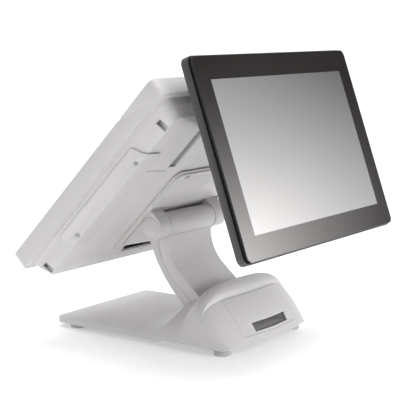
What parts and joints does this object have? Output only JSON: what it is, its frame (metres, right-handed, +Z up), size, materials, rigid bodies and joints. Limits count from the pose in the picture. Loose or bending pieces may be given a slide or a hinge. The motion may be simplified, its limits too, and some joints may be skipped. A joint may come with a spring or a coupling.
{
  "type": "point-of-sale touchscreen terminal",
  "caption": "Tilting touchscreen terminal on a curved arm and ramped base, with a customer-facing second display hung behind its panel.",
  "frame": {"origin": "on the counter, under the middle of the whole terminal", "axes": "+Z up, the operator stands on the -Y side, the customer on the +Y side, +X to the operator's right"},
  "size_m": [0.374, 0.3551, 0.3597],
  "materials": {
    "white_plastic": "fine-grained moulded plastic, warm white",
    "grey_plastic": "fine-grained moulded plastic, mid grey",
    "dark_plastic": "moulded plastic, dark grey, satin",
    "black_plastic": "matte black moulding",
    "screen_glass": "polished cover glass with a dark printed border",
    "zinc_steel": "folded sheet steel, zinc plated",
    "screw_steel": "turned steel, bright plated",
    "panel_metal": "satin aluminium casing",
    "heat_sink_metal": "extruded aluminium",
    "circuit_board": "green solder mask on laminate",
    "rubber": "matte grey rubber",
    "white_paint": "fine-textured white powder coat on folded steel"
  },
  "bodies": {
    "stand": {"base_shell": "white_plastic", "base_plate": "zinc_steel", "rubber_feet": "rubber", "base_screws": "screw_steel", "arm_front_shell": "white_plastic", "arm_rear_shell": "white_plastic", "hinge_sleeve": "white_plastic", "arm_core": "zinc_steel", "arm_bolts": "screw_steel", "hinge_shaft": "screw_steel", "shaft_nuts": "screw_steel"},
    "cable_cover": {"cable_cover": "white_plastic"},
    "terminal": {"bezel": "white_plastic", "touch_glass": "screen_glass", "glass_gasket": "black_plastic", "lcd_panel": "panel_metal", "panel_chassis": "zinc_steel", "rear_housing": "white_plastic", "housing_screws": "screw_steel", "rear_cover": "white_plastic", "rear_cover_screws": "white_plastic", "side_cover": "white_plastic", "side_cover_screws": "screw_steel", "vent_grilles": "grey_plastic", "mainboard": "circuit_board", "heat_sink": "heat_sink_metal", "memory_module": "circuit_board", "storage_drive": "panel_metal", "drive_tray": "zinc_steel", "touch_controller": "circuit_board", "speakers": "black_plastic", "io_connectors": "panel_metal", "hinge_bracket": "white_paint", "bracket_screws": "screw_steel", "hinge_cheek_left": "white_plastic", "hinge_cheek_right": "white_plastic", "hinge_caps": "white_plastic", "friction_washers": "screw_steel", "power_switch": "black_plastic", "display_mount": "dark_plastic", "mount_screws": "screw_steel"},
    "power_button": {"power_button": "grey_plastic"},
    "customer_display": {"display_shell": "dark_plastic", "display_frame": "black_plastic", "display_glass": "screen_glass", "display_lcd": "panel_metal", "display_board": "circuit_board", "display_lugs": "dark_plastic", "display_pin": "screw_steel", "lug_screws": "screw_steel"}
  },
  "joints": [
    {"name": "terminal_tilt", "type": "hinge", "parent": "stand", "child": "terminal", "pos_m": [0, -0.035, 0.142], "axis": [1, 0, 0], "range_deg": [-20, 22]},
    {"name": "display_tilt", "type": "hinge", "parent": "terminal", "child": "customer_display", "pos_m": [0, 0.09386, 0.24586], "axis": [1, 0, 0], "range_deg": [-20, 10]},
    {"name": "cable_cover_slide", "type": "slide", "parent": "stand", "child": "cable_cover", "axis": [0, 1, 0], "range_m": [0, 0.06]},
    {"name": "power_button_push", "type": "slide", "parent": "terminal", "child": "power_button", "axis": [0, 0.6984, 0.7157], "range_m": [0, 0.0015], "stiffness_N_per_m": 400}
  ]
}
